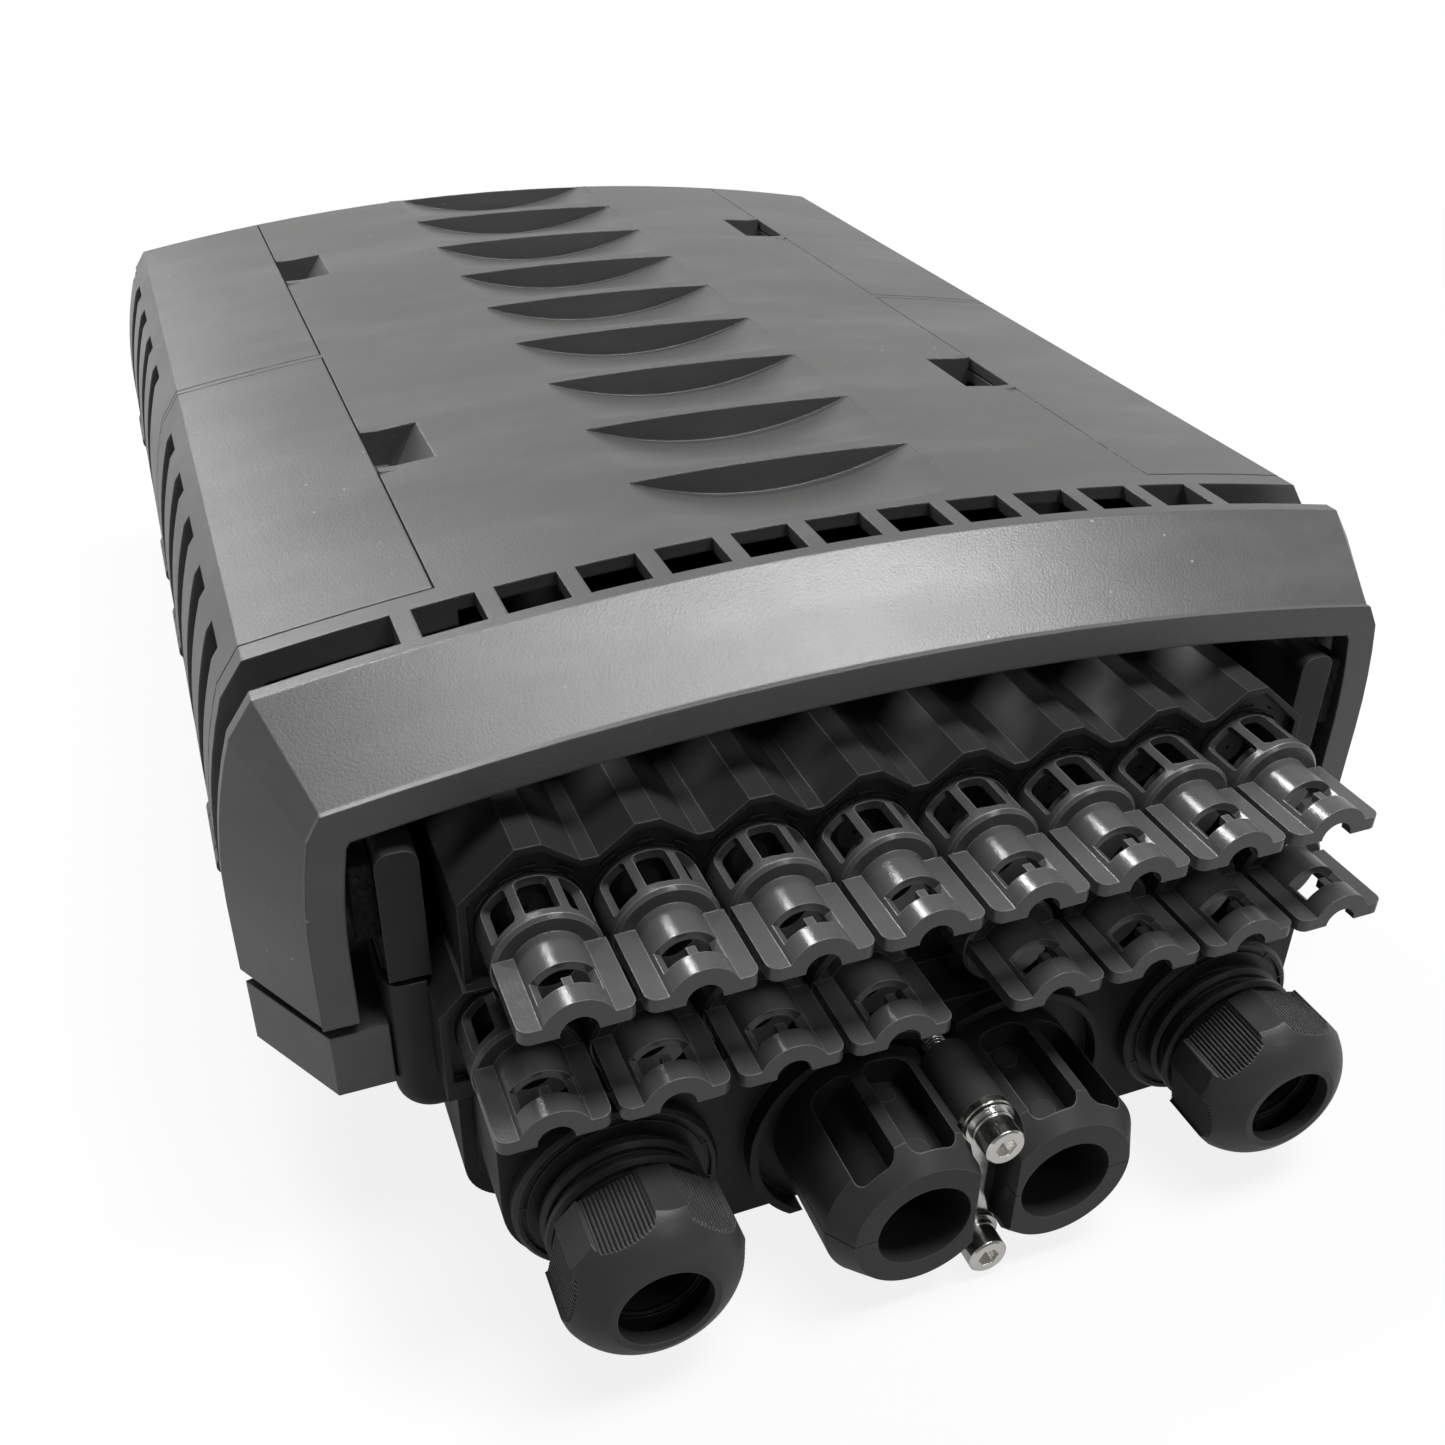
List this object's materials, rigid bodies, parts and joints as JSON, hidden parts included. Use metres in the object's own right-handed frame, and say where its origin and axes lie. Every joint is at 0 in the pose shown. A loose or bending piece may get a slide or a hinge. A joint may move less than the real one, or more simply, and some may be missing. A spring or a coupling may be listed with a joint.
{
  "type": "fibre termination box",
  "caption": "Wall box for fibre drop cables: louvred sun shield with side flaps over a sealed closure, two rows of drop ports, screwed glands and a split cable entry.",
  "frame": {"origin": "middle of the bolt pattern on the back, at the face of the pads", "axes": "+Z away from the wall, -Y towards the port end, X across the box"},
  "size_m": [0.2634, 0.4027, 0.1303],
  "materials": {
    "shield_grey": "finely grained matte dark grey",
    "closure_black": "satin black moulding",
    "clamp_black": "semi-gloss black moulding",
    "gland_black": "satin black moulding",
    "rubber": "matte black",
    "foam": "open-cell foam",
    "steel": "bright stainless",
    "brass": "plain",
    "adapter_green": "gloss",
    "tray_white": "satin",
    "tray_cover": "clear smoke",
    "splitter_metal": "plain mill"
  },
  "bodies": {
    "base": {"adapter_panel": "steel", "adapters_lower": "adapter_green", "adapters_upper": "adapter_green", "clamp_screws": "steel", "clamp_strip": "steel", "clamp_washers": "steel", "closure_base": "closure_black", "drop_clamp_lower_1": "clamp_black", "drop_clamp_lower_2": "clamp_black", "drop_clamp_lower_3": "clamp_black", "drop_clamp_lower_4": "clamp_black", "drop_clamp_lower_5": "clamp_black", "drop_clamp_lower_6": "clamp_black", "drop_clamp_lower_7": "clamp_black", "drop_clamp_lower_8": "clamp_black", "drop_clamp_upper_1": "clamp_black", "drop_clamp_upper_2": "clamp_black", "drop_clamp_upper_3": "clamp_black", "drop_clamp_upper_4": "clamp_black", "drop_clamp_upper_5": "clamp_black", "drop_clamp_upper_6": "clamp_black", "drop_clamp_upper_7": "clamp_black", "drop_clamp_upper_8": "clamp_black", "entry_lower_half": "gland_black", "entry_seal": "rubber", "entry_upper_half": "gland_black", "feeder_clamp_bar": "closure_black", "feeder_clamp_base": "closure_black", "feeder_clamp_screw": "steel", "gland_body_left": "gland_black", "gland_body_right": "gland_black", "gland_locknut_left": "gland_black", "gland_locknut_right": "gland_black", "gland_seal_left": "rubber", "gland_seal_right": "rubber", "lid_gasket": "rubber", "lid_hinge_pins": "steel", "mount_inserts": "brass", "port_block": "closure_black", "port_plugs_lower": "rubber", "port_plugs_upper": "rubber", "rear_frame": "shield_grey", "splice_tray": "tray_white", "splice_tray_cover": "tray_cover", "splitter_module": "splitter_metal"},
    "lid": {"sun_shield": "shield_grey", "panel_hinge_pins": "steel", "closure_lid": "closure_black", "lid_bolts": "steel", "shield_screws": "steel", "foam_strip_left": "foam", "foam_strip_right": "foam"},
    "panel_left_front": {"side_panel_left_front": "shield_grey"},
    "panel_left_rear": {"side_panel_left_rear": "shield_grey"},
    "panel_right_front": {"side_panel_right_front": "shield_grey"},
    "panel_right_rear": {"side_panel_right_rear": "shield_grey"},
    "gland_nut_left": {"gland_nut_left": "gland_black"},
    "gland_nut_right": {"gland_nut_right": "gland_black"}
  },
  "joints": [
    {"name": "lid_hinge", "type": "hinge", "parent": "base", "child": "lid", "pos_m": [0, 0.209, 0.0583], "axis": [-1, 0, 0], "range_deg": [0, 105]},
    {"name": "panel_left_front_hinge", "type": "hinge", "parent": "lid", "child": "panel_left_front", "pos_m": [-0.1293, -0.0211, 0.0625], "axis": [0, -1, 0], "range_deg": [0, 100]},
    {"name": "panel_left_rear_hinge", "type": "hinge", "parent": "lid", "child": "panel_left_rear", "pos_m": [-0.1293, 0.12575, 0.0625], "axis": [0, -1, 0], "range_deg": [0, 100]},
    {"name": "panel_right_front_hinge", "type": "hinge", "parent": "lid", "child": "panel_right_front", "pos_m": [0.1293, -0.0211, 0.0625], "axis": [0, 1, 0], "range_deg": [0, 100]},
    {"name": "panel_right_rear_hinge", "type": "hinge", "parent": "lid", "child": "panel_right_rear", "pos_m": [0.1293, 0.12575, 0.0625], "axis": [0, 1, 0], "range_deg": [0, 100]},
    {"name": "gland_nut_left_turn", "type": "hinge", "parent": "base", "child": "gland_nut_left", "pos_m": [-0.0694, -0.175, 0.0241], "axis": [0, 1, 0], "continuous": true},
    {"name": "gland_nut_right_turn", "type": "hinge", "parent": "base", "child": "gland_nut_right", "pos_m": [0.0694, -0.175, 0.0241], "axis": [0, 1, 0], "continuous": true}
  ]
}
